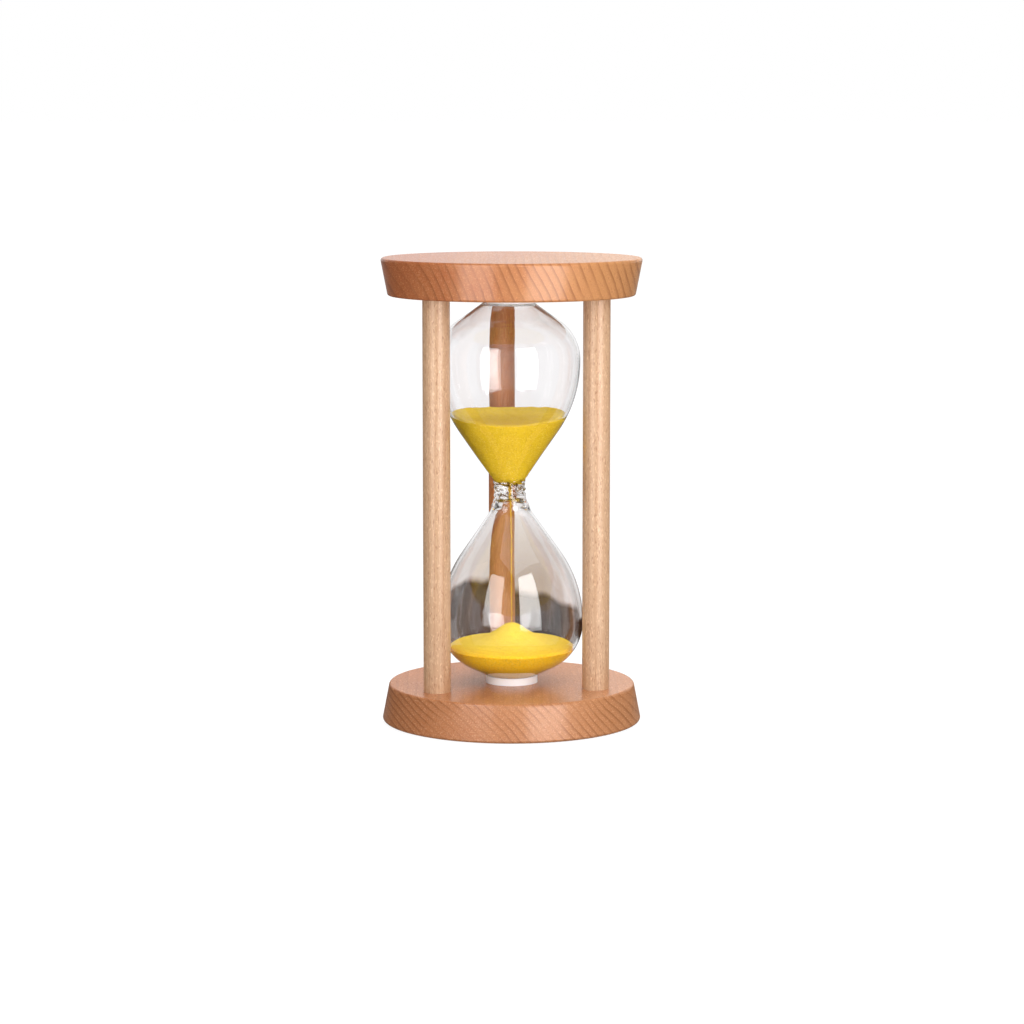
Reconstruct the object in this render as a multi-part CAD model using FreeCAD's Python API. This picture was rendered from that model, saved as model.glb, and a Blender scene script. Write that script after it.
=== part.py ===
import FreeCAD, Part
import math
import os

from FreeCAD import Vector

# A sand hourglass: a blown double bulb held between two turned wooden plates by three dowel pillars.
# Millimetres and degrees. +Z is up, and the origin is the centre of the bottom plate's underside.

# ---- stand -------------------------------------------------------------------------------------
total_height = 160.0
plate_thickness = 12.9
plate_margin = 6.25           # wood left between a pillar and the plate's edge, at the inner face
plate_flare = 2.5             # how much wider a plate is at its outer face than at its inner face
plate_edge_round = 0.9
pillar_radius = 4.65
glass_to_pillar_gap = 2.15
back_pillar_angle = 96.6      # from +X, seen from above; the other two stand a third of a turn apart
socket_depth = 8.0            # blind holes that the pillars are glued into
socket_clearance = 0.05
pillar_end_chamfer = 0.6

# ---- seat pads and filling plug ----------------------------------------------------------------
pad_radius = 9.0
pad_proud = 2.5               # height of a pad above the face it is let into
pad_recess_depth = 1.2
pad_recess_clearance = 0.1
pad_edge_round = 0.4
filling_hole_radius = 3.0
plug_clearance = 0.05
plug_head_radius = 4.6
plug_head_thickness = 1.2
plug_pocket_clearance = 0.15

# ---- glass -------------------------------------------------------------------------------------
belly_radius = 24.7           # widest point of both bulbs
foot_radius = 8.7             # flat end of each bulb
neck_radius = 5.35
glass_wall = 0.85
upper_foot_wall = 1.0
lower_foot_wall = 1.8
throat_radius = 0.65          # bore that the sand runs through
upper_dome_stretch = 3.6      # how much longer a dome is along the axis than it is wide
lower_dome_stretch = 2.6
upper_dome_fullness = 0.8     # 1 is one arc all the way from foot to belly, less adds a straight cone
lower_dome_fullness = 0.92
upper_flank_fullness = 0.82   # the same, from belly to the hollow curve at the neck
lower_flank_fullness = 0.87
upper_neck_half = 2.3         # straight part of the neck, each way from the middle of the glass
lower_neck_half = 0.3
upper_neck_round = 3.8        # hollow curve where the neck opens into the bulb
lower_neck_round = 14.5
throat_half = 2.3             # least length of bore, each way from the middle of the glass
upper_bowl_round = 5.0        # round bowl at the floor of each funnel
lower_bowl_round = 4.0

# ---- sand --------------------------------------------------------------------------------------
sand_clearance = 0.1
stream_radius = 0.45
upper_sand_depth = 26.1       # from the middle of the glass to the rim of the sand
upper_dish_depth = 2.2
upper_dish_span = 19.0
upper_sand_slope = 4.4        # how far the sand has settled towards the front
lower_sand_depth = 10.1       # from the foot of the glass to the rim of the sand
lower_sand_slope = 1.7
pile_height = 7.9
pile_tip_width = 5.0
pile_skirt_radius = 5.6
pile_skirt_height = 0.9

# ---- sizes that follow -------------------------------------------------------------------------
pillar_circle_radius = belly_radius + glass_to_pillar_gap + pillar_radius
plate_inner_radius = pillar_circle_radius + pillar_radius + plate_margin
plate_outer_radius = plate_inner_radius + plate_flare
middle_height = total_height / 2
foot_height = middle_height - plate_thickness - pad_proud      # from the middle of the glass
UP = Vector(0, 0, 1)
CENTRE = Vector(0, 0, 0)


def point(radius, height):
    return Vector(radius, 0, height)


def direction(angle):
    return Vector(math.cos(angle), 0, math.sin(angle))


def line(start, end):
    return Part.LineSegment(start, end).toShape()


def arc(centre, radius, start_angle, end_angle):
    middle = (start_angle + end_angle) / 2
    ends = [centre + direction(angle) * radius for angle in (start_angle, middle, end_angle)]
    return Part.Arc(*ends).toShape()


def touching_angle(centre, target, reach, turn):
    """Angle of the normal, at centre, of a straight run that passes target on the side that turn says.

    reach is how far along that normal the target lies: a round at the target adds to it or takes from it.
    """
    step = target - centre
    return math.atan2(step.z, step.x) + turn * math.acos(reach / step.Length)


def turned(edges):
    """The solid swept by a closed outline in the XZ plane as it turns once about Z."""
    outline = Part.Wire(Part.__sortEdges__(edges))
    return Part.Face(outline).revolve(CENTRE, UP, 360)


def cylinder(radius, bottom, top):
    return Part.makeCylinder(radius, top - bottom, Vector(0, 0, bottom), UP)


def upside_down(shape):
    """The same shape at the other end of the hourglass."""
    return shape.mirror(Vector(0, 0, middle_height), UP)


# ---- wooden stand ------------------------------------------------------------------------------
def pillar_places():
    """Pillar name to its place in plan."""
    places = {}
    for turn, name in enumerate(("pillar_back", "pillar_left", "pillar_right")):
        angle = math.radians(back_pillar_angle + 120 * turn)
        places[name] = Vector(math.cos(angle), math.sin(angle), 0) * pillar_circle_radius
    return places


def plate():
    """The bottom plate: a flared disc with three pillar sockets and a shallow seat for the pad."""
    disc = Part.makeCone(plate_outer_radius, plate_inner_radius, plate_thickness)
    rims = [edge for edge in disc.Edges if isinstance(edge.Curve, Part.Circle)]
    disc = disc.makeFillet(plate_edge_round, rims)
    socket = cylinder(pillar_radius + socket_clearance, plate_thickness - socket_depth, plate_thickness)
    for place in pillar_places().values():
        disc = disc.cut(socket.translated(place))
    seat = cylinder(pad_radius + pad_recess_clearance, plate_thickness - pad_recess_depth, plate_thickness)
    return disc.cut(seat)


def pillar(place):
    """A dowel that reaches the bottom of its socket in both plates."""
    bottom = plate_thickness - socket_depth
    dowel = cylinder(pillar_radius, bottom, total_height - bottom)
    ends = [edge for edge in dowel.Edges if isinstance(edge.Curve, Part.Circle)]
    return dowel.makeChamfer(pillar_end_chamfer, ends).translated(place)


# ---- seat pads and filling plug ----------------------------------------------------------------
def seat_pad():
    """The bottom pad: a round cushion between plate and glass."""
    bottom = plate_thickness - pad_recess_depth
    pad = cylinder(pad_radius, bottom, plate_thickness + pad_proud)
    rims = [edge for edge in pad.Edges if isinstance(edge.Curve, Part.Circle)]
    return pad.makeFillet(pad_edge_round, rims)


def top_seat_pad():
    """The top pad, with a pocket for the head of the filling plug."""
    foot = middle_height + foot_height
    pocket = cylinder(plug_head_radius + plug_pocket_clearance, foot, foot + plug_head_thickness)
    return upside_down(seat_pad()).cut(pocket)


def filling_plug():
    """The stopper that closes the hole the sand was poured in by."""
    foot = middle_height + foot_height
    stem = cylinder(filling_hole_radius - plug_clearance, foot - upper_foot_wall, foot)
    head = cylinder(plug_head_radius, foot, foot + plug_head_thickness)
    return stem.fuse(head).removeSplitter()


# ---- glass -------------------------------------------------------------------------------------
class Bulb:
    """One bulb in outline: heights are from the middle of the glass, and positive towards the foot."""

    def __init__(self, dome_stretch, dome_fullness, flank_fullness, neck_half, neck_round, bowl_round):
        reach = belly_radius - foot_radius
        belly_drop = reach + dome_stretch
        self.belly_height = foot_height - belly_drop
        self.neck_half = neck_half
        self.neck_round = neck_round
        fullest_dome = (reach ** 2 + belly_drop ** 2) / (2 * reach)
        self.dome_round = dome_fullness * fullest_dome
        rise = self.belly_height - neck_half
        reach = belly_radius - neck_radius
        fullest_flank = ((reach - neck_round) ** 2 + rise ** 2 - neck_round ** 2) / (2 * reach)
        self.flank_round = flank_fullness * fullest_flank
        self.foot = point(foot_radius, foot_height)
        self.dome_centre = point(belly_radius - self.dome_round, self.belly_height)
        self.flank_centre = point(belly_radius - self.flank_round, self.belly_height)
        self.neck_centre = point(neck_radius + neck_round, neck_half)
        # The shoulder is the straight cone from the foot that just touches the dome.
        self.shoulder_angle = touching_angle(self.dome_centre, self.foot, self.dome_round, -1)
        # The funnel is the straight cone that touches both the flank and the neck's hollow curve.
        reach = self.flank_round + neck_round
        self.funnel_angle = touching_angle(self.flank_centre, self.neck_centre, reach, 1)
        self.bowl_round = bowl_round
        self.throat_half = max(throat_half, self.shortest_throat())

    def shortest_throat(self):
        """How far up the bore must reach for the bowl to leave a full wall at the neck's hollow curve."""
        funnel = direction(self.funnel_angle)
        reach = funnel.dot(self.flank_centre) + self.flank_round - glass_wall
        bowl_reach = funnel.x * throat_radius + (1 + funnel.z) * self.bowl_round
        return (reach - bowl_reach) / funnel.z

    def side(self, inset, funnel_angle):
        """Edges from shoulder to funnel, set in from the outer face, with their two end points."""
        dome = self.dome_round - inset
        flank = self.flank_round - inset
        edges = [
            arc(self.dome_centre, dome, self.shoulder_angle, 0),
            arc(self.flank_centre, flank, 0, funnel_angle),
        ]
        start = self.dome_centre + direction(self.shoulder_angle) * dome
        end = self.flank_centre + direction(funnel_angle) * flank
        return edges, start, end

    def outer_edges(self):
        """The outside of the bulb, from the middle of the foot to the middle of the neck."""
        edges, start, end = self.side(0, self.funnel_angle)
        neck_start = self.neck_centre - direction(self.funnel_angle) * self.neck_round
        neck_end = point(neck_radius, self.neck_half)
        edges.append(line(point(0, foot_height), self.foot))
        edges.append(line(self.foot, start))
        edges.append(line(end, neck_start))
        edges.append(arc(self.neck_centre, -self.neck_round, self.funnel_angle, 0))
        edges.append(line(neck_end, point(neck_radius, 0)))
        return edges

    def hollow(self, foot_wall, inset):
        """The space inside the bulb, kept inset away from the glass. Its funnel ends in a round bowl."""
        wall = glass_wall + inset
        ceiling = foot_height - foot_wall - inset
        mouth = point(throat_radius, self.throat_half + inset)
        bowl = self.bowl_round - inset
        bowl_centre = mouth + UP * bowl
        bowl_angle = touching_angle(self.flank_centre, bowl_centre, self.flank_round - wall - bowl, 1)
        edges, start, end = self.side(wall, bowl_angle)
        shoulder = direction(self.shoulder_angle)
        corner = point((shoulder.dot(start) - shoulder.z * ceiling) / shoulder.x, ceiling)
        edges.append(line(point(0, ceiling), corner))
        edges.append(line(corner, start))
        edges.append(line(end, bowl_centre + direction(bowl_angle) * bowl))
        edges.append(arc(bowl_centre, bowl, bowl_angle, -math.pi / 2))
        edges.append(line(mouth, point(0, mouth.z)))
        edges.append(line(point(0, mouth.z), point(0, ceiling)))
        return turned(edges)


upper_bulb = Bulb(
    upper_dome_stretch, upper_dome_fullness, upper_flank_fullness,
    upper_neck_half, upper_neck_round, upper_bowl_round)
lower_bulb = Bulb(
    lower_dome_stretch, lower_dome_fullness, lower_flank_fullness,
    lower_neck_half, lower_neck_round, lower_bowl_round)


def upper_hollow(inset=0):
    hollow = upper_bulb.hollow(upper_foot_wall, inset)
    return hollow.translated(UP * middle_height)


def lower_hollow(inset=0):
    hollow = lower_bulb.hollow(lower_foot_wall, inset)
    return upside_down(hollow.translated(UP * middle_height))


def outer_half(bulb):
    edges = bulb.outer_edges()
    edges.append(line(point(neck_radius, 0), CENTRE))
    edges.append(line(CENTRE, point(0, foot_height)))
    return turned(edges).translated(UP * middle_height)


def glass_vessel():
    """One piece of blown glass: two hollow bulbs, the bore between them and the filling hole."""
    vessel = outer_half(upper_bulb).fuse(upside_down(outer_half(lower_bulb))).removeSplitter()
    vessel = vessel.cut(upper_hollow()).cut(lower_hollow())
    throat_bottom = middle_height - lower_bulb.throat_half
    throat_top = middle_height + upper_bulb.throat_half
    vessel = vessel.cut(cylinder(throat_radius, throat_bottom, throat_top))
    foot = middle_height + foot_height
    return vessel.cut(cylinder(filling_hole_radius, foot - upper_foot_wall, foot))


# ---- sand --------------------------------------------------------------------------------------
def sand_upper():
    """Sand still to run: it fills the funnel up to a dished surface."""
    ball_radius = (upper_dish_span ** 2 + upper_dish_depth ** 2) / (2 * upper_dish_depth)
    lift = ball_radius - upper_dish_depth
    slope = math.radians(upper_sand_slope)
    rim_height = middle_height + upper_sand_depth
    ball_centre = Vector(0, -lift * math.sin(slope), rim_height + lift * math.cos(slope))
    return upper_hollow(sand_clearance).cut(Part.makeSphere(ball_radius, ball_centre))


def lower_rim_height():
    return middle_height - foot_height + lower_sand_depth


def sand_lower():
    """Sand that has run: a bell-shaped pile on the floor of the lower bulb."""
    rim = lower_rim_height()
    peak = rim + pile_height
    surface = Part.BezierCurve()
    surface.setPoles([
        point(0, peak),
        point(pile_tip_width, peak),
        point(pile_skirt_radius, rim + pile_skirt_height),
        point(belly_radius, rim),
    ])
    pile = turned([
        surface.toShape(),
        line(point(belly_radius, rim), point(belly_radius, 0)),
        line(point(belly_radius, 0), CENTRE),
        line(CENTRE, point(0, peak)),
    ])
    # A quarter turn first, so that the start of the pile's round face isn't on that of the bulb's.
    pile.rotate(CENTRE, UP, 90)
    pile.rotate(Vector(0, 0, peak), Vector(1, 0, 0), lower_sand_slope)
    return lower_hollow(sand_clearance).common(pile)


def sand_stream():
    """The thread of falling sand, from the floor of the upper funnel to the top of the pile."""
    top = middle_height + upper_bulb.throat_half + sand_clearance
    return cylinder(stream_radius, lower_rim_height() + pile_height, top)


# ---- every piece, by name ----------------------------------------------------------------------
pieces = {
    "bottom_plate": plate(),
    "top_plate": upside_down(plate()),
    "bottom_seat_pad": seat_pad(),
    "top_seat_pad": top_seat_pad(),
    "glass_vessel": glass_vessel(),
    "filling_plug": filling_plug(),
    "sand_upper": sand_upper(),
    "sand_stream": sand_stream(),
    "sand_lower": sand_lower(),
}
for pillar_name, pillar_place in pillar_places().items():
    pieces[pillar_name] = pillar(pillar_place)

os.makedirs("parts", exist_ok=True)
for name, shape in pieces.items():
    shape.exportStep("parts/" + name + ".step")
    print(name, "volume", round(shape.Volume), "solids", len(shape.Solids), "valid", shape.isValid())
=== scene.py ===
import math

import bpy
import numpy as np
from mathutils import Euler, Matrix, Vector


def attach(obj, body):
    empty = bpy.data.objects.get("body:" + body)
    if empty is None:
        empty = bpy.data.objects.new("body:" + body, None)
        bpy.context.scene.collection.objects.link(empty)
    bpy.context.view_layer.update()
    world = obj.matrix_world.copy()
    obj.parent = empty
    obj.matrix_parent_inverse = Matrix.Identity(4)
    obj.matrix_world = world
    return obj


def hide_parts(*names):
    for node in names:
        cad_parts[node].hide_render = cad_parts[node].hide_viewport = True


# An hourglass: a blown double bulb of yellow sand between two beech discs and three beech dowels.
# Sizes are in metres through mm, angles in radians through math.radians, and +Z is up.

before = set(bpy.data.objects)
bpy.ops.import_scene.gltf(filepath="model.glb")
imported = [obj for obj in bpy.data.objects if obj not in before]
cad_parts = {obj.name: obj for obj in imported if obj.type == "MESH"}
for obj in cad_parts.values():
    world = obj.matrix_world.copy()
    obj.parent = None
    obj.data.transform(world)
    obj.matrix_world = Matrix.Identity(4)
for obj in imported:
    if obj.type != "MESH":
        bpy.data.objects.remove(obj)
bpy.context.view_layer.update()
mm = 0.001


# ---- plates ------------------------------------------------------------------------------------
# Two flared discs turned from sawn beech boards, so the year rings cross their rims on a slant and
# the fibres run from front to back. They are sanded and given a thin satin lacquer.

class Recipe:
    """Nodes being wired together, with short names for the steps that the finishes need."""

    def __init__(self, tree):
        self.tree = tree

    def feed(self, socket, value):
        if isinstance(value, bpy.types.NodeSocket):
            self.tree.links.new(value, socket)
        else:
            socket.default_value = value

    def add(self, kind, feeds=None, **settings):
        """A new node, with its settings, and its sockets fed by other nodes or set to plain values."""
        node = self.tree.nodes.new(kind)
        for name, value in settings.items():
            setattr(node, name, value)
        for socket, value in (feeds or {}).items():
            self.feed(node.inputs[socket], value)
        return node

    def sum(self, operation, first, second=0.0, third=0.0):
        feeds = {0: first, 1: second, 2: third}
        return self.add("ShaderNodeMath", feeds, operation=operation).outputs[0]

    def between(self, value, low, high, start=0.0, end=1.0):
        """Value carried from the span low to high over to the span start to end, and held there."""
        feeds = {"Value": value, "From Min": low, "From Max": high, "To Min": start, "To Max": end}
        return self.add("ShaderNodeMapRange", feeds, interpolation_type="SMOOTHSTEP").outputs[0]

    def mottle(self, place, size, stretch=(1, 1, 1), detail=2.0, rough=0.5):
        """Soft random patches of about that size, from 0 to 1, drawn out by stretch along each axis."""
        scale = [1 / (size * by) for by in stretch]
        spread = self.add("ShaderNodeVectorMath", {0: place, 1: scale}, operation="MULTIPLY").outputs[0]
        feeds = {"Vector": spread, "Scale": 1.0, "Detail": detail, "Roughness": rough}
        return self.add("ShaderNodeTexNoise", feeds).outputs["Fac"]

    def mix(self, share, first, second):
        """Two colours mixed: all first at share 0, all second at share 1."""
        feeds = {0: share, 6: first, 7: second}
        return self.add("ShaderNodeMix", feeds, data_type="RGBA").outputs[2]

    def upward(self, direction):
        """How far a place or a direction reaches along Z."""
        return self.add("ShaderNodeSeparateXYZ", {0: direction}).outputs[2]


class Finish(Recipe):
    """A material as it is mixed: a Principled surface, and what feeds it."""

    def __init__(self, name, **settings):
        self.material = bpy.data.materials.new(name)
        self.material.use_nodes = True
        super().__init__(self.material.node_tree)
        self.surface = self.tree.nodes["Principled BSDF"]
        self.output = self.tree.nodes["Material Output"]
        self.place = self.add("ShaderNodeTexCoord").outputs["Object"]
        for name, value in settings.items():
            socket = name.replace("_", " ").title().replace("Ior", "IOR")
            self.surface.inputs[socket].default_value = value

    def colour(self, value):
        self.feed(self.surface.inputs["Base Color"], value)

    def roughness(self, value):
        self.feed(self.surface.inputs["Roughness"], value)

    def relief(self, height, depth):
        """Raises and sinks the surface by up to depth, in metres."""
        bump = self.add("ShaderNodeBump", {"Height": height, "Distance": depth, "Strength": 1.0})
        self.feed(self.surface.inputs["Normal"], bump.outputs[0])

    def show(self, share, first, second):
        """Shows a blend of two shader nodes: all first at share 0, all second at share 1."""
        feeds = {0: share, 1: first.outputs[0], 2: second.outputs[0]}
        self.feed(self.output.inputs["Surface"], self.add("ShaderNodeMixShader", feeds).outputs[0])


def beech(name, wood, heart, lie, painted_light_step, ring_gap, ring_depth, fleck_depth, lacquer):
    """Lacquered beech. Heart is a point on the tree's middle line, and lie turns that line upright.

    The step given after lie runs from where the wood is painted deepest in colour, in painted shade, to
    where it is painted palest, in painted light.
    """
    finish = Finish(name, coat_weight=lacquer, coat_roughness=0.2, ior=1.45, specular_ior_level=0.3)
    feeds = {"Vector": finish.place, "Location": heart, "Rotation": lie}
    tree = finish.add("ShaderNodeMapping", feeds, vector_type="TEXTURE").outputs[0]
    flat = finish.add("ShaderNodeVectorMath", {0: tree, 1: (1, 1, 0)}, operation="MULTIPLY").outputs[0]
    radius = finish.add("ShaderNodeVectorMath", {0: flat}, operation="LENGTH").outputs["Value"]

    # Year rings: a slow deepening of the brown that ends in a thin dark line.
    sway = finish.mottle(tree, 30 * mm, (1, 1, 5), 1.0)
    swayed = finish.sum("MULTIPLY_ADD", sway, 7 * mm, radius)
    shake = finish.mottle(tree, 2.2 * mm, (1, 1, 6), 1.0)
    shaken = finish.sum("MULTIPLY_ADD", shake, 0.35 * mm, swayed)
    year = finish.sum("FRACT", finish.sum("DIVIDE", shaken, ring_gap))
    late = finish.sum("POWER", finish.between(year, 0.15, 0.95), 3.5)
    after = finish.between(year, 0.95, 0.995, 1.0, 0.0)
    bold = finish.between(finish.mottle(tree, 14 * mm, (1, 1, 5), 1.0), 0.36, 0.62, 0.35, 1.0)
    rings = finish.sum("MULTIPLY", finish.sum("MULTIPLY", late, after), bold)

    # On the flat faces, cut along the fibres, the sanded rings are fainter than on the rims.
    normal = finish.add("ShaderNodeNewGeometry").outputs["Normal"]
    flatness = finish.sum("ABSOLUTE", finish.upward(normal))
    rings = finish.sum("MULTIPLY", rings, finish.between(flatness, 0.6, 0.95, 1.0, 0.35))

    # Fibres run the length of the board; pores and rays show as fine flecks along them.
    fibre = finish.mottle(tree, 0.36 * mm, (1, 1, 14), 2.0, 0.6)
    cloud = finish.mottle(tree, 10 * mm, (1, 1, 5), 2.0)
    dash = finish.mottle(tree, 0.40 * mm, (1, 1, 4.5), 1.0)
    flecks = finish.between(dash, 0.6, 0.7)
    # Paler specks of a brighter fibre colour are painted glints: painted highlight on the lacquer.
    painted_glints = finish.between(finish.mottle(tree, 0.45 * mm, (1, 1, 3), 1.0), 0.58, 0.70, 0.0, 0.8)

    # The ground colour varies in soft clouds, and along the step it goes from painted shade to painted
    # light; the rest is laid over it.
    painted_light_way = [part / Vector(painted_light_step).length_squared for part in painted_light_step]
    feeds = {0: finish.place, 1: painted_light_way}
    painted_light_drift = finish.add("ShaderNodeVectorMath", feeds, operation="DOT_PRODUCT").outputs["Value"]
    cloud_and_painted_light = finish.sum("MULTIPLY_ADD", cloud, 0.5, painted_light_drift)
    ground = finish.mix(finish.between(cloud_and_painted_light, -0.25, 0.75), wood["deep"], wood["pale"])
    grained = finish.mix(finish.between(fibre, 0.42, 0.68, 0.0, 0.5), ground, wood["fibre"])
    # A brighter copy of the fibre colour, for the painted glints.
    painted_glint_colour = [1.35 * part for part in wood["fibre"][:3]] + [1]
    with_painted_glints = finish.mix(painted_glints, grained, finish.mix(0.6, ground, painted_glint_colour))
    ringed = finish.mix(finish.sum("MULTIPLY", rings, ring_depth), with_painted_glints, wood["ring"])
    finish.colour(finish.mix(finish.sum("MULTIPLY", flecks, fleck_depth), ringed, wood["fleck"]))

    # Lacquer lies smooth on the fibres and sinks a little into the flecks.
    finish.roughness(finish.sum("MULTIPLY_ADD", flecks, 0.12, finish.between(fibre, 0.3, 0.7, 0.36, 0.5)))
    finish.relief(finish.sum("MULTIPLY_ADD", flecks, -0.8, fibre), 0.035 * mm)
    return finish.material


def wear(node, material):
    """Gives a CAD piece its real finish."""
    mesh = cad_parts[node].data
    mesh.materials.clear()
    mesh.materials.append(material)


plate_ring = (0.190, 0.055, 0.016, 1)
plate_fleck = (0.230, 0.078, 0.026, 1)
pale_board = {
    "deep": (0.400, 0.140, 0.048, 1),
    "pale": (0.430, 0.180, 0.072, 1),
    "fibre": (0.510, 0.260, 0.135, 1),
    "ring": plate_ring,
    "fleck": plate_fleck,
}
brown_board = {
    "deep": (0.350, 0.092, 0.026, 1),
    "pale": (0.510, 0.235, 0.088, 1),
    "fibre": (0.480, 0.205, 0.086, 1),
    "ring": plate_ring,
    "fleck": plate_fleck,
}
front_to_back = (math.radians(90), 0, 0)
# The plates are painted paler to the right, toward the stronger lamp, and deeper to the left: painted
# light and shade.
plate_painted_light_step = (90 * mm, 0, 0)
for plate, wood, heart, ring_gap in (
    ("bottom_plate", pale_board, (-130 * mm, 0, -125 * mm), 2.1 * mm),
    ("top_plate", brown_board, (-110 * mm, 0, 108 * mm), 2.7 * mm),
):
    wear(plate, beech(
        plate + "_beech", wood, heart, front_to_back, plate_painted_light_step, ring_gap,
        ring_depth=0.65, fleck_depth=0.3, lacquer=0.45))


# ---- pillars -----------------------------------------------------------------------------------
# Three beech dowels, glued into blind sockets in both plates. Their fibres run upright, and the
# short brown flecks of cut rays show all over them.

dowel_ring = (0.370, 0.175, 0.080, 1)
dowel_fleck = (0.260, 0.105, 0.042, 1)
cream_dowel = {
    "deep": (0.480, 0.285, 0.160, 1),
    "pale": (0.530, 0.327, 0.195, 1),
    "fibre": (0.600, 0.397, 0.255, 1),
    "ring": dowel_ring,
    "fleck": dowel_fleck,
}
# The back dowel is painted browner and darker than the front ones: painted shade for where it stands
# behind the glass.
shaded_brown_dowel = {
    "deep": (0.450, 0.145, 0.038, 1),
    "pale": (0.640, 0.345, 0.140, 1),
    "fibre": (0.580, 0.270, 0.105, 1),
    "ring": dowel_ring,
    "fleck": dowel_fleck,
}
nearly_upright = (math.radians(1.5), math.radians(-1.0), 0)
# The front dowels are painted paler to the right, toward the stronger lamp, and the back dowel paler
# toward its foot and deepest under the top plate: painted light and shade.
front_dowel_painted_light_step = (200 * mm, 0, 0)
back_dowel_painted_light_step = (0, 0, -200 * mm)
for pillar, wood, heart, painted_light_step in (
    ("pillar_left", cream_dowel, (-60 * mm, 10 * mm, 0), front_dowel_painted_light_step),
    ("pillar_right", cream_dowel, (75 * mm, -60 * mm, 0), front_dowel_painted_light_step),
    ("pillar_back", shaded_brown_dowel, (20 * mm, 75 * mm, 0), back_dowel_painted_light_step),
):
    wear(pillar, beech(
        pillar + "_beech", wood, heart, nearly_upright, painted_light_step, 2.1 * mm,
        ring_depth=0.4, fleck_depth=0.5, lacquer=0.22))


# ---- seat pads ---------------------------------------------------------------------------------
# Two round pads stamped from firm white foam plastic. Each is let into its plate, and the flat
# foot of the glass presses on it; the top one is hollowed for the head of the stopper.

pad_radius = 9.0 * mm
pad_proud = 2.5 * mm
pad_let_in = 1.2 * mm
plate_thickness = 12.9 * mm
total_height = 160 * mm
pad_edge = 0.4 * mm
pocket_radius = 4.75 * mm
pocket_depth = 1.2 * mm
pressed_in = 0.04 * mm        # how far the pads and the stopper reach into the foot of the glass
pad_step = 0.12 * mm


def eased(outline, step, reach):
    """An outline of (radius, height) points set evenly at step, with its corners rubbed round."""
    outline = np.array(outline)
    runs = np.hypot(*np.diff(outline, axis=0).T)
    along = np.concatenate([[0], np.cumsum(runs)])
    even = np.linspace(0, along[-1], int(along[-1] / step) + 1)
    points = np.column_stack([np.interp(even, along, outline[:, axis]) for axis in (0, 1)])
    half = max(1, int(reach / step))
    ahead = 2 * points[0] - points[1:half + 1][::-1]
    behind = 2 * points[-1] - points[-half - 1:-1][::-1]
    longer = np.vstack([ahead, points, behind])
    weights = np.hanning(2 * half + 3)[1:-1]
    weights /= weights.sum()
    return np.column_stack([np.convolve(longer[:, axis], weights, "valid") for axis in (0, 1)])


def formed(name, corners, faces, material):
    """A new thing made of corners and faces, in one material."""
    mesh = bpy.data.meshes.new(name)
    mesh.from_pydata(corners, [], faces)
    mesh.materials.append(material)
    thing = bpy.data.objects.new(name, mesh)
    bpy.context.collection.objects.link(thing)
    return thing


def skin(name, rings, material):
    """A closed surface through rings of points, with a single point at each end, shown smooth."""
    around = len(rings[1])
    corners = [tuple(corner) for ring in rings for corner in ring]
    last = len(corners) - 1
    faces = []
    for ring in range(len(rings) - 3):
        start = 1 + ring * around
        for side in range(around):
            beside = (side + 1) % around
            above = start + around
            faces.append((start + side, start + beside, above + beside, above + side))
    for side in range(around):
        beside = (side + 1) % around
        faces.append((0, 1 + beside, 1 + side))
        faces.append((last, last - around + side, last - around + beside))
    piece = formed(name, corners, faces, material)
    piece.data.validate()
    piece.data.shade_smooth()
    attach(piece, "root")
    return piece


def turned(name, outline, material, around=144):
    """A piece turned about Z from its outline, of which the two ends lie on the axis."""
    angles = np.arange(around) * math.tau / around
    cosines = np.cos(angles)
    sines = np.sin(angles)
    rings = [[(0, 0, outline[0][1])]]
    for radius, height in outline[1:-1]:
        rings.append(np.column_stack([radius * cosines, radius * sines, np.full(around, height)]))
    rings.append([(0, 0, outline[-1][1])])
    return skin(name, rings, material)


def foam_white():
    """Fine closed cells, here and there a little scuffed."""
    finish = Finish("pad_white_foam", ior=1.45, sheen_weight=0.08)
    cells = finish.mottle(finish.place, 0.25 * mm, detail=3.0, rough=0.6)
    scuff = finish.mottle(finish.place, 2.5 * mm)
    base = finish.mix(finish.between(scuff, 0.35, 0.7), (0.98, 0.98, 1.0, 1), (0.95, 0.95, 0.98, 1))
    finish.colour(finish.mix(finish.between(cells, 0.3, 0.7, 0.0, 0.25), base, (0.97, 0.96, 0.98, 1)))
    finish.roughness(finish.between(cells, 0.3, 0.7, 0.42, 0.6))
    finish.relief(cells, 0.03 * mm)
    return finish.material


pad_white = foam_white()
pad_bottom = plate_thickness - pad_let_in
pad_top = plate_thickness + pad_proud
pressed_top = pad_top + pressed_in
bottom_pad_outline = [
    (0, pad_bottom),
    (pad_radius, pad_bottom),
    (pad_radius, pressed_top),
    (0, pressed_top),
]
bottom_pad_outline = eased(bottom_pad_outline, pad_step, pad_edge)
bottom_pad = turned("seat_pad_bottom", bottom_pad_outline, pad_white)
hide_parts("bottom_seat_pad")

foot_face = total_height - pad_top
pocket_floor = foot_face + pocket_depth
top_pad_outline = [
    (0, total_height - pad_bottom),
    (pad_radius, total_height - pad_bottom),
    (pad_radius, total_height - pressed_top),
    (pocket_radius, total_height - pressed_top),
    (pocket_radius, pocket_floor),
    (0, pocket_floor),
]
top_pad_outline = eased(top_pad_outline, pad_step, pad_edge)
top_pad = turned("seat_pad_top", top_pad_outline, pad_white)
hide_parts("top_seat_pad")


# ---- glass -------------------------------------------------------------------------------------
# One tube of clear glass blown into two bulbs, with flat feet and a solid neck left round the bore
# where the two were worked together in the flame. The upper bulb leans a little to the left.

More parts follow.
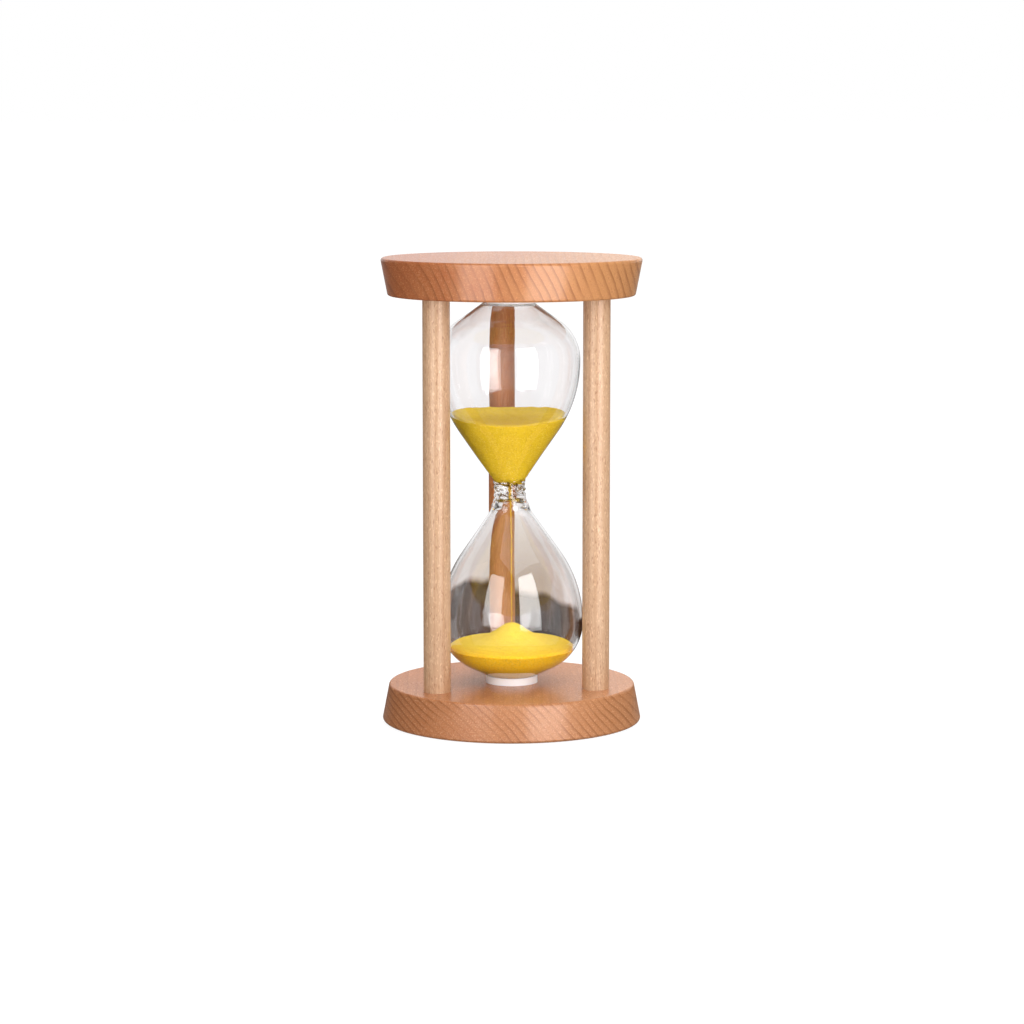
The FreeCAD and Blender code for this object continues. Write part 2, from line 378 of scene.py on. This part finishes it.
middle = total_height / 2
foot_height = middle - pad_top
belly_radius = 24.7 * mm
foot_radius = 8.7 * mm
neck_radius = 5.35 * mm
glass_wall = 0.85 * mm
upper_foot_wall = 1.0 * mm
lower_foot_wall = 1.8 * mm
throat_radius = 0.65 * mm
filling_hole_radius = 3.0 * mm
lean = -1.05 * mm
lean_from = 59 * mm
lean_to = 94 * mm


def direction(angle):
    return np.array([math.cos(angle), math.sin(angle)])


def touching_angle(centre, target, reach, side):
    """Angle at which a straight run that passes the target touches the round about centre."""
    step = target - centre
    return math.atan2(step[1], step[0]) + side * math.acos(reach / math.hypot(*step))


def arc(centre, radius, start, end, count=40):
    return [centre + direction(angle) * radius for angle in np.linspace(start, end, count)]


class Bulb:
    """The outline of one bulb: radius and height from the middle of the glass to its foot."""

    def __init__(self, foot_wall, dome_stretch, dome_fullness, flank_fullness, neck_half, neck_round,
                 throat_half, bowl_round):
        reach = belly_radius - foot_radius
        drop = reach + dome_stretch
        self.foot_wall = foot_wall
        self.belly = foot_height - drop
        self.dome = dome_fullness * (reach ** 2 + drop ** 2) / (2 * reach)
        rise = self.belly - neck_half
        reach = belly_radius - neck_radius
        full = ((reach - neck_round) ** 2 + rise ** 2 - neck_round ** 2) / (2 * reach)
        self.flank = flank_fullness * full
        self.foot = np.array([foot_radius, foot_height])
        self.dome_centre = np.array([belly_radius - self.dome, self.belly])
        self.flank_centre = np.array([belly_radius - self.flank, self.belly])
        self.neck_centre = np.array([neck_radius + neck_round, neck_half])
        self.neck_round = neck_round
        self.mouth = np.array([throat_radius, throat_half])
        self.bowl = bowl_round
        self.shoulder = touching_angle(self.dome_centre, self.foot, self.dome, -1)

    def outside(self):
        """From the edge of the foot to the neck."""
        funnel = touching_angle(self.flank_centre, self.neck_centre, self.flank + self.neck_round, 1)
        return [
            self.foot,
            *arc(self.dome_centre, self.dome, self.shoulder, 0),
            *arc(self.flank_centre, self.flank, 0, funnel),
            *arc(self.neck_centre, -self.neck_round, funnel, 0),
        ]

    def inside(self, gap=0.0):
        """From the throat to the ceiling inside the foot, kept gap away from the glass."""
        wall = glass_wall + gap
        bowl = self.bowl - gap
        ceiling = foot_height - self.foot_wall - gap
        bowl_centre = self.mouth + np.array([0, gap + bowl])
        funnel = touching_angle(self.flank_centre, bowl_centre, self.flank - wall - bowl, 1)
        shoulder = direction(self.shoulder)
        start = self.dome_centre + shoulder * (self.dome - wall)
        corner = np.array([(shoulder @ start - shoulder[1] * ceiling) / shoulder[0], ceiling])
        return [
            *arc(bowl_centre, bowl, -math.pi / 2, funnel, 16),
            *arc(self.flank_centre, self.flank - wall, funnel, 0),
            *arc(self.dome_centre, self.dome - wall, 0, self.shoulder),
            corner,
        ]


upper_bulb = Bulb(
    upper_foot_wall, dome_stretch=3.6 * mm, dome_fullness=0.80, flank_fullness=0.82,
    neck_half=2.3 * mm, neck_round=3.8 * mm, throat_half=2.3 * mm, bowl_round=5.0 * mm)
lower_bulb = Bulb(
    lower_foot_wall, dome_stretch=2.6 * mm, dome_fullness=0.92, flank_fullness=0.87,
    neck_half=0.3 * mm, neck_round=14.5 * mm, throat_half=2.61 * mm, bowl_round=4.0 * mm)


def raised(points):
    """Outline points of the upper bulb, as radius and height above the table."""
    return [(radius, middle + height) for radius, height in points]


def lowered(points):
    """Outline points of the lower bulb, as radius and height above the table."""
    return [(radius, middle - height) for radius, height in points]


def leaned(piece):
    """Bends a piece as the glass is bent: nothing at the lower bulb, and all of it at the upper one."""
    for corner in piece.data.vertices:
        share = min(1, max(0, (corner.co.z - lean_from) / (lean_to - lean_from)))
        corner.co.x += lean * share * share * (3 - 2 * share)


def clear_glass():
    """Clear soda glass, a little grey through its thickness."""
    finish = Finish("clear_glass", transmission_weight=1.0, roughness=0.0, ior=1.5)

    # Seen on edge it is painted dark, a painted shade on the glass's rims, and brown flecks are shut in
    # where the neck was worked.
    slant = finish.add("ShaderNodeLayerWeight", {"Blend": 0.5}).outputs["Facing"]
    clear = (0.975, 0.966, 0.970, 1)
    painted_edge_shade = (0.13, 0.085, 0.055, 1)
    brown = (0.16, 0.085, 0.03, 1)
    with_painted_edge_shade = finish.mix(finish.between(slant, 0.78, 0.97), clear, painted_edge_shade)
    neck_height = 80.5 * mm
    off_neck = finish.sum("ABSOLUTE", finish.sum("SUBTRACT", finish.upward(finish.place), neck_height))
    worked = finish.between(off_neck, 2.5 * mm, 5.0 * mm, 1.0, 0.0)
    speck = finish.between(finish.mottle(finish.place, 1.2 * mm, detail=1.0), 0.57, 0.61)
    finish.colour(finish.mix(finish.sum("MULTIPLY", speck, worked), with_painted_edge_shade, brown))
    shade = finish.add("ShaderNodeVolumeAbsorption", {"Color": (0.50, 0.47, 0.46, 1), "Density": 25.0})
    finish.feed(finish.output.inputs["Volume"], shade.outputs[0])

    # Ream: the long soft waves that blowing leaves in the wall.
    finish.relief(finish.mottle(finish.place, 7 * mm, (1, 1, 3.5), 1.0), 0.05 * mm)

    # Lamp light goes straight through, to the sand and the pads.
    lamp_ray = finish.add("ShaderNodeLightPath").outputs["Is Shadow Ray"]
    through = finish.add("ShaderNodeBsdfTransparent", {"Color": (0.99, 0.99, 0.99, 1)})
    finish.show(lamp_ray, finish.surface, through)
    return finish.material


def hand_blown(piece, around, outer_rings):
    """Makes the outer face, which is the piece's first rings, uneven as blown glass is.

    It gets soft swells, waves where the neck was worked, and a bead under the neck.
    """
    for index, corner in enumerate(piece.data.vertices):
        ring = (index - 1) // around + 1
        if index == 0 or ring >= outer_rings:
            continue
        radius = math.hypot(corner.co.x, corner.co.y)
        turn = math.atan2(corner.co.y, corner.co.x)
        height = (corner.co.z - middle) / mm
        swell = 0.05 * math.sin(2 * turn + height / 9) + 0.03 * math.sin(3 * turn - height / 5.5 + 1)
        worked = math.exp(-(height / 4.5) ** 2)
        swell += worked * 0.17 * math.sin(height * 2.9 + 0.9 * math.sin(turn * 2))
        swell += worked * 0.09 * math.sin(5 * turn + height * 4.1)
        swell += 0.35 * math.exp(-((height + 5.0) / 0.7) ** 2)
        share = 1 + swell * mm * min(1, radius / (5 * mm)) / max(radius, mm)
        corner.co.x *= share
        corner.co.y *= share


vessel_outside = [
    (0, pad_top),
    *lowered(lower_bulb.outside()),
    *raised(upper_bulb.outside()[::-1]),
    (filling_hole_radius, foot_face),
]
vessel_inside = [
    (filling_hole_radius, foot_face - upper_foot_wall),
    *raised(upper_bulb.inside()[::-1]),
    (throat_radius, middle),
    *lowered(lower_bulb.inside()),
    (0, pad_top + lower_foot_wall),
]
vessel_outline = eased(vessel_outside + vessel_inside, 0.3 * mm, 0.45 * mm)
glass_around = 160
vessel = turned("glass_bulbs", vessel_outline, clear_glass(), glass_around)
from_hole_edge = np.hypot(*(vessel_outline - (filling_hole_radius, foot_face)).T)
hand_blown(vessel, glass_around, outer_rings=int(np.argmin(from_hole_edge)))
leaned(vessel)
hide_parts("glass_vessel")


# ---- stopper -----------------------------------------------------------------------------------
# A moulded plug pushed into the hole the sand was poured in by, under the top pad.

plug_stem = 2.95 * mm
plug_head = 4.6 * mm
plug_head_height = 1.2 * mm


def milky_plastic():
    """White plastic with the fine grain of its mould."""
    finish = Finish("stopper_plastic", ior=1.45, subsurface_weight=0.1)
    grain = finish.mottle(finish.place, 0.3 * mm, detail=2.0)
    finish.colour(finish.mix(grain, (0.80, 0.80, 0.78, 1), (0.88, 0.88, 0.87, 1)))
    finish.roughness(finish.between(grain, 0.3, 0.7, 0.35, 0.5))
    finish.relief(grain, 0.02 * mm)
    return finish.material


stopper_outline = [
    (0, foot_face - upper_foot_wall),
    (plug_stem, foot_face - upper_foot_wall),
    (plug_stem, foot_face - pressed_in),
    (plug_head, foot_face - pressed_in),
    (plug_head, foot_face + plug_head_height),
    (0, foot_face + plug_head_height),
]
stopper_outline = eased(stopper_outline, 0.1 * mm, 0.15 * mm)
stopper = turned("filling_stopper", stopper_outline, milky_plastic(), around=72)
leaned(stopper)
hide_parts("filling_plug")


# ---- sand --------------------------------------------------------------------------------------
# Fine quartz sand dyed yellow. Above, it has sunk in a dish as it runs out, and stands a little
# higher against the glass; below, it heaps up in a bell under the falling thread.

sand_gap = -0.05 * mm         # less than none: the sand presses on the glass
upper_rim = middle + 26.1 * mm
upper_dish = 2.2 * mm
upper_slope = math.tan(math.radians(4.4))
lower_rim = middle - foot_height + 10.1 * mm
pile_height = 7.9 * mm
lower_slope = math.tan(math.radians(1.7))
lip = 1.0 * mm                # how far the sand creeps up the glass


def dyed_sand(name, deep, bright, painted_light_line):
    """Yellow grains in one colour under the given height and another above it: painted light and shade.
    """
    finish = Finish(name, ior=1.5, specular_ior_level=0.2, roughness=0.9)
    grains = finish.add("ShaderNodeTexVoronoi", {"Vector": finish.place, "Scale": 1 / (0.32 * mm)})
    tint = finish.add("ShaderNodeSeparateColor", {"Color": grains.outputs["Color"]}).outputs[0]
    change = 1.2 * mm
    risen = finish.between(finish.upward(finish.place), painted_light_line - change, painted_light_line + change)
    base = finish.mix(risen, deep, bright)
    lit = finish.mix(finish.between(tint, 0.72, 0.98, 0.0, 0.3), base, (0.98, 0.80, 0.16, 1))
    finish.colour(finish.mix(finish.between(tint, 0.0, 0.25, 0.40, 0.0), lit, (0.50, 0.24, 0.006, 1)))
    finish.roughness(finish.between(tint, 0.0, 1.0, 0.7, 0.95))
    finish.relief(finish.sum("SUBTRACT", 1.0, grains.outputs["Distance"]), 0.16 * mm)
    return finish.material


# The upper sand is painted brighter on its top, where light falls through the glass, and deeper against
# the glass; the lower sand is painted a stronger, brighter orange where it lies against the glass:
# painted light and shade.
rim_above = upper_rim - 1.0 * mm
rim_below = lower_rim + 0.3 * mm
sand_yellow = dyed_sand("yellow_sand", (0.74, 0.475, 0.010, 1), (0.97, 0.70, 0.045, 1), rim_above)
sand_orange = dyed_sand("yellow_sand_below", (0.98, 0.545, 0.004, 1), (0.81, 0.58, 0.045, 1), rim_below)


def ripple(x, y):
    """The small unevenness of a sand surface."""
    return (0.16 * math.sin(x / mm * 0.9 + 1.3 * math.sin(y / mm * 0.43)) * math.sin(y / mm * 0.8 + 0.6)
            + 0.07 * math.sin(x / mm * 2.1 + y / mm * 1.3)) * mm


def sand_body(name, wall, surface, sand, around=160, up_wall=90, over_top=70):
    """Sand held in a bulb. Wall is the bulb's inside from the sand's bottom up.

    Surface gives the height of the sand's top from x, y and the share of the way out to the glass.
    """
    wall = np.array(wall)
    columns = []
    for angle in np.arange(around) * math.tau / around:
        cos, sin = math.cos(angle), math.sin(angle)

        # Where the top meets the wall on this side is closed in on by steps.
        below = [(r, h) for r, h in wall if h < surface(1.0, r * cos, r * sin)]
        last_r, last_h = below[-1]
        next_r, next_h = wall[len(below)] if len(below) < len(wall) else wall[-1]
        r = last_r
        for _ in range(6):
            share = (surface(1.0, r * cos, r * sin) - last_h) / (next_h - last_h)
            r = last_r + share * (next_r - last_r)
        side = np.array(below + [(r, surface(1.0, r * cos, r * sin))])

        # Up the wall in even steps, and then over the top to the middle.
        along = np.concatenate([[0], np.cumsum(np.hypot(*np.diff(side, axis=0).T))])
        even = np.linspace(0, along[-1], up_wall)[1:]
        radii = np.interp(even, along, side[:, 0])
        heights = np.interp(even, along, side[:, 1])
        column = [(radius * cos, radius * sin, height) for radius, height in zip(radii, heights)]
        for inward in np.linspace(0, 1, over_top)[1:-1]:
            share = 1 - inward ** 1.25
            x, y = share * r * cos, share * r * sin
            column.append((x, y, surface(share, x, y)))
        columns.append(column)
    rings = [[(0, 0, wall[0][1])]]
    rings += [[column[row] for column in columns] for row in range(len(columns[0]))]
    rings.append([(0, 0, surface(0.0, 0.0, 0.0))])
    return skin(name, rings, sand)


def edge_fall(share, width):
    """From 0 on the sand's top to 1 at the glass, over the last width of the way out."""
    return 0.5 + 0.5 * math.cos(math.pi * min(1, (1 - share) / width))


def upper_surface(share, x, y):
    """The dished top, which falls away to the front and is higher at the sides than front and back."""
    saddle = 0.6 * mm * share * share * math.cos(2 * math.atan2(y, x))
    dip = upper_dish * (1 - share * share)
    edge = lip * (0.3 - 0.6 * edge_fall(share, 0.06))
    inside = min(1, (1 - share) / 0.08)
    return upper_rim + saddle - dip + edge + y * upper_slope + ripple(x, y) * inside


def bell(radius):
    """Height of the pile above its rim, a curve through its tip, its hollow skirt and the glass."""
    across = np.array([0, 5.0, 5.6, 24.7]) * mm
    up = np.array([pile_height, pile_height, 0.9 * mm, 0])
    t = np.linspace(0, 1, 60)[:, None]
    weights = np.hstack([(1 - t) ** 3, 3 * t * (1 - t) ** 2, 3 * t * t * (1 - t), t ** 3])
    return float(np.interp(radius, weights @ across, weights @ up))


def lower_surface(share, x, y):
    """The pile, smooth at its tip, where new grains keep sliding."""
    radius = math.hypot(x, y)
    edge = lip * (0.3 - 0.5 * edge_fall(share, 0.05))
    inside = min(1, (1 - share) / 0.08) * min(1, radius / (5 * mm))
    return lower_rim + bell(radius) + edge + y * lower_slope + 0.4 * ripple(y, x) * inside


upper_wall = [(0, middle + upper_bulb.mouth[1] + sand_gap), *raised(upper_bulb.inside(sand_gap))]
upper_sand = sand_body("sand_above", upper_wall, upper_surface, sand_yellow)
leaned(upper_sand)
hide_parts("sand_upper")

floor_inside = pad_top + lower_foot_wall + sand_gap
lower_wall = [(0, floor_inside), *lowered(lower_bulb.inside(sand_gap))[::-1]]
lower_sand = sand_body("sand_below", lower_wall, lower_surface, sand_orange)
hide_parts("sand_lower")


# ---- falling thread ----------------------------------------------------------------------------
# Single grains that pour through the bore, packed close, and then fall to the tip of the pile,
# further and further apart as they gather speed.

grain_size = 0.17 * mm
thread_top = middle + upper_bulb.mouth[1] + sand_gap
thread_bottom = lower_rim + pile_height
bore_length = 5.2 * mm


def falling_grains(packed=420, falling=520):
    """A mesh of small eight-sided grains, each roughened and turned its own way, set down the fall."""
    scatter = np.random.default_rng(7)
    shape = np.array([(1, 0, 0), (-1, 0, 0), (0, 1, 0), (0, -1, 0), (0, 0, 1), (0, 0, -1)], float)
    sides = [(0, 2, 4), (2, 1, 4), (1, 3, 4), (3, 0, 4), (2, 0, 5), (1, 2, 5), (3, 1, 5), (0, 3, 5)]
    corners, faces = [], []
    free_fall = thread_top - thread_bottom - bore_length
    falls = [share * bore_length for share in np.linspace(0, 1, packed)]
    falls += [bore_length + share * free_fall for share in np.linspace(0, 1, falling) ** 1.15]
    for fall in falls:
        height = thread_top - 0.2 * mm - fall
        poured = fall < bore_length
        across = scatter.normal(0, 0.6, 2) * (0.5 if poured else 0.17) * mm
        across *= min(1, (0.48 if poured else 0.32) * mm / max(np.hypot(*across), 1e-9))
        size = grain_size * scatter.uniform(0.7, 1.25) * (1.0 if poured else 0.8)
        turn = np.array(Euler(scatter.uniform(0, 6, 3)).to_matrix())
        start = len(corners)
        grain = shape * scatter.uniform(0.75, 1.2, (6, 1)) * size
        corners += [tuple(point) for point in grain @ turn.T + (*across, height)]
        faces += [tuple(start + corner for corner in side) for side in sides]
    piece = formed("sand_thread", corners, faces, sand_yellow)
    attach(piece, "root")
    return piece


thread = falling_grains()
leaned(thread)
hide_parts("sand_stream")


# ---- table, lights and camera ------------------------------------------------------------------
# The hourglass stands on a plain white table that runs off into white. Two upright soft boxes stand
# in front, one hangs overhead and one behind. The dark room round the table is hidden from the eye,
# and shows in and through the glass and in the shine of the lacquer.

def white_table():
    """White paper, evenly bright to the eye, that gives the wood less light than it shows."""
    finish = Finish("table_white", roughness=0.8)
    reach = finish.add("ShaderNodeVectorMath", {0: finish.place}, operation="LENGTH").outputs["Value"]
    away = finish.between(reach, 0.10, 0.42)
    paper = finish.mottle(finish.place, 2 * mm)
    finish.colour(finish.mix(paper, (0.93, 0.93, 0.93, 1), (0.95, 0.95, 0.95, 1)))
    lighting = finish.add("ShaderNodeLightPath").outputs["Is Diffuse Ray"]
    glow = finish.add("ShaderNodeEmission", {"Strength": finish.between(lighting, 0.0, 1.0, 1.05, 0.55)})
    finish.show(finish.between(away, 0.0, 1.0, 0.85, 1.0), finish.surface, glow)
    return finish.material


table_reach = 40.0
table_top = -0.2 * mm
table_sides = 64
table_edge = [
    (table_reach * math.cos(angle), table_reach * math.sin(angle), table_top)
    for angle in np.arange(table_sides) * math.tau / table_sides
]
table = formed("table", table_edge, [tuple(range(table_sides))], white_table())
table.visible_glossy = False


def dark_room():
    """A dark brown band with a wavy top, and over it a thin brown haze, thickest right of the middle."""
    finish = Finish("far_room_dark")
    across, away, height = finish.add("ShaderNodeSeparateXYZ", {0: finish.place}).outputs

    # The height is measured from a top edge that waves, and that falls away to the right.
    wave = finish.mottle(finish.place, 16 * mm, (1, 1, 3), 1.0)
    waved = finish.sum("MULTIPLY_ADD", wave, 9 * mm, height)
    risen = finish.sum("ADD", waved, finish.between(across, -26 * mm, 30 * mm, -3 * mm, 7 * mm))
    over_band = finish.between(risen, 27 * mm, 31 * mm)
    streaks = finish.mottle(finish.place, 14 * mm, (1, 1, 3), 2.0)
    black_brown = (0.014, 0.006, 0.003, 1)
    mid_brown = (0.092, 0.040, 0.019, 1)
    band = finish.mix(finish.between(streaks, 0.3, 0.7), black_brown, mid_brown)
    colour = finish.mix(over_band, band, (0.300, 0.150, 0.060, 1))

    # How clear the haze is: more so at its far edges, and in streaks, and wholly so at its top.
    veil = finish.mottle(finish.place, 12 * mm, (1, 1, 4), 2.0)
    from_left = finish.between(across, -22 * mm, 12 * mm, 0.62, 0.34)
    to_right = finish.sum("ADD", from_left, finish.between(across, 24 * mm, 34 * mm, 0.0, 0.4))
    low_haze = finish.sum("MULTIPLY_ADD", veil, 0.2, finish.sum("SUBTRACT", to_right, 0.1))
    feeds = {"Value": finish.between(risen, 30 * mm, 80 * mm), "To Min": low_haze, "To Max": 1.0}
    haze = finish.add("ShaderNodeMapRange", feeds).outputs[0]
    solid = finish.sum("SUBTRACT", 1.0, finish.sum("MULTIPLY", over_band, haze))

    # All of it is mirrored in the glass, but only its back half shows through the glass.
    rays = finish.add("ShaderNodeLightPath").outputs
    mirrored = finish.sum("SUBTRACT", rays["Is Glossy Ray"], rays["Is Transmission Ray"])
    shown = finish.sum("MAXIMUM", mirrored, finish.between(away, 40 * mm, 110 * mm))
    glow = finish.add("ShaderNodeEmission", {"Color": colour, "Strength": 1.0})
    clear = finish.add("ShaderNodeBsdfTransparent")
    finish.show(finish.sum("SUBTRACT", 1.0, finish.sum("MULTIPLY", solid, shown)), glow, clear)
    return finish.material


fence_sides = 96
fence_radius = 150 * mm
fence_edges = ((110 * mm, 0), (fence_radius, 0), (fence_radius, 75 * mm))
fence_corners = [
    (radius * math.cos(angle), radius * math.sin(angle), height)
    for radius, height in fence_edges
    for angle in np.arange(fence_sides) * math.tau / fence_sides
]
fence_faces = []
for row in (0, fence_sides):
    for side in range(fence_sides):
        beside = (side + 1) % fence_sides
        above = row + fence_sides
        fence_faces.append((row + side, row + beside, above + beside, above + side))
fence = formed("dark_fence", fence_corners, fence_faces, dark_room())
fence.visible_camera = False
fence.visible_diffuse = False
fence.visible_shadow = False


def facing(place, aim):
    """Where a flat thing is when it stands at place and faces aim."""
    away = Vector(place) - Vector(aim)
    return Matrix.Translation(place) @ away.to_track_quat("Z", "Y").to_matrix().to_4x4()


def soft_box(name, place, aim, width, height, radiance):
    """A soft light of even brightness, hidden from the eye and from mirrors."""
    lamp = bpy.data.lights.new(name, "AREA")
    lamp.shape = "RECTANGLE"
    lamp.size = width
    lamp.size_y = height
    lamp.energy = radiance * math.pi * width * height
    box = bpy.data.objects.new(name, lamp)
    bpy.context.collection.objects.link(box)
    box.matrix_world = facing(place, aim)
    box.visible_camera = False
    box.visible_glossy = False
    return box


def bright_card(name, place, aim, width, height, radiance):
    """The bright front of a soft box, as it shows in the glass and in the lacquer."""
    finish = Finish(name)
    glow = finish.add("ShaderNodeEmission", {"Strength": radiance})
    finish.feed(finish.output.inputs["Surface"], glow.outputs[0])
    corners = [(x * width / 2, y * height / 2, 0) for x, y in ((-1, -1), (1, -1), (1, 1), (-1, 1))]
    card = formed(name, corners, [(0, 1, 2, 3)], finish.material)
    card.matrix_world = facing(place, aim)
    card.visible_camera = False
    card.visible_diffuse = False
    card.visible_transmission = False
    card.visible_shadow = False


def around(azimuth, reach, height):
    """A place at that azimuth from straight in front, to the right if positive."""
    angle = math.radians(azimuth)
    return (reach * math.sin(angle), -reach * math.cos(angle), height)


box_reach = 0.45
box_height = 0.55
card_reach = 0.44
card_height = 0.54
box_middle = 0.175
box_aim = (0, 0, box_middle)
for side, azimuth, box_width, box_radiance, card_width, card_radiance in (
    ("right", 31, 0.275, 5.0, 0.27, 8.5),
    ("left", -31, 0.225, 2.9, 0.235, 6.5),
):
    box_place = around(azimuth, box_reach, box_middle)
    card_place = around(azimuth, card_reach, box_middle)
    soft_box("box_" + side, box_place, box_aim, box_width, box_height, box_radiance)
    bright_card("card_" + side, card_place, box_aim, card_width, card_height, card_radiance)
soft_box("box_over", (0.1, -0.1, 1.0), (0, 0, 0), width=1.2, height=1.2, radiance=1.9)
behind = soft_box("box_behind", (0.08, 0.60, 0.47), (0, 0, 0.06), width=0.8, height=0.4, radiance=5.8)
behind.visible_transmission = False

sky = bpy.data.worlds.new("studio")
bpy.context.scene.world = sky
sky.use_nodes = True
sky.cycles.sampling_method = "NONE"
room = Recipe(sky.node_tree)
background = sky.node_tree.nodes["Background"]
rays = room.add("ShaderNodeLightPath").outputs
way = room.add("ShaderNodeTexCoord").outputs["Generated"]
_, backward, upward = room.add("ShaderNodeSeparateXYZ", {0: way}).outputs

# White to the eye, and through the glass too except high up; in mirrors, white only straight behind.
low_down = room.between(upward, 0.35, 0.60, 1.0, 0.08)
through_glass = room.sum("MULTIPLY", rays["Is Transmission Ray"], low_down)
seen = room.sum("MAXIMUM", rays["Is Camera Ray"], through_glass)
backdrop = room.between(backward, 0.70, 0.97, 0.06, 1.0)
above_floor = room.between(upward, -0.15, 0.05, 0.15, 1.0)
mirrored = room.sum("MULTIPLY", rays["Is Glossy Ray"], room.sum("MULTIPLY", backdrop, above_floor))
lighting = room.sum("MULTIPLY", rays["Is Diffuse Ray"], room.between(backward, 0.1, 0.8, 0.2, 0.9))
strength = room.sum("MAXIMUM", seen, room.sum("MAXIMUM", mirrored, lighting))
room.feed(background.inputs["Strength"], strength)
background.inputs["Color"].default_value = (1, 1, 1, 1)

# The camera stands about a metre off and looks down on the hourglass a little.
scene = bpy.context.scene
camera = bpy.data.objects.new("camera", bpy.data.cameras.new("camera"))
bpy.context.collection.objects.link(camera)
camera.data.lens = 108.2
camera.data.sensor_width = 36
camera_place = (0.00575, -1.0530, 0.2110)
turned_left = math.radians(0.305)
tilted = math.radians(90 - 7.505)
look = Matrix.Rotation(turned_left, 4, "Z") @ Matrix.Rotation(tilted, 4, "X")
camera.matrix_world = Matrix.Translation(camera_place) @ look
scene.camera = camera

scene.view_settings.view_transform = "Standard"
scene.cycles.max_bounces = 32
scene.cycles.transmission_bounces = 24
scene.cycles.glossy_bounces = 12
scene.cycles.transparent_max_bounces = 16
scene.cycles.caustics_refractive = True
scene.cycles.caustics_reflective = False
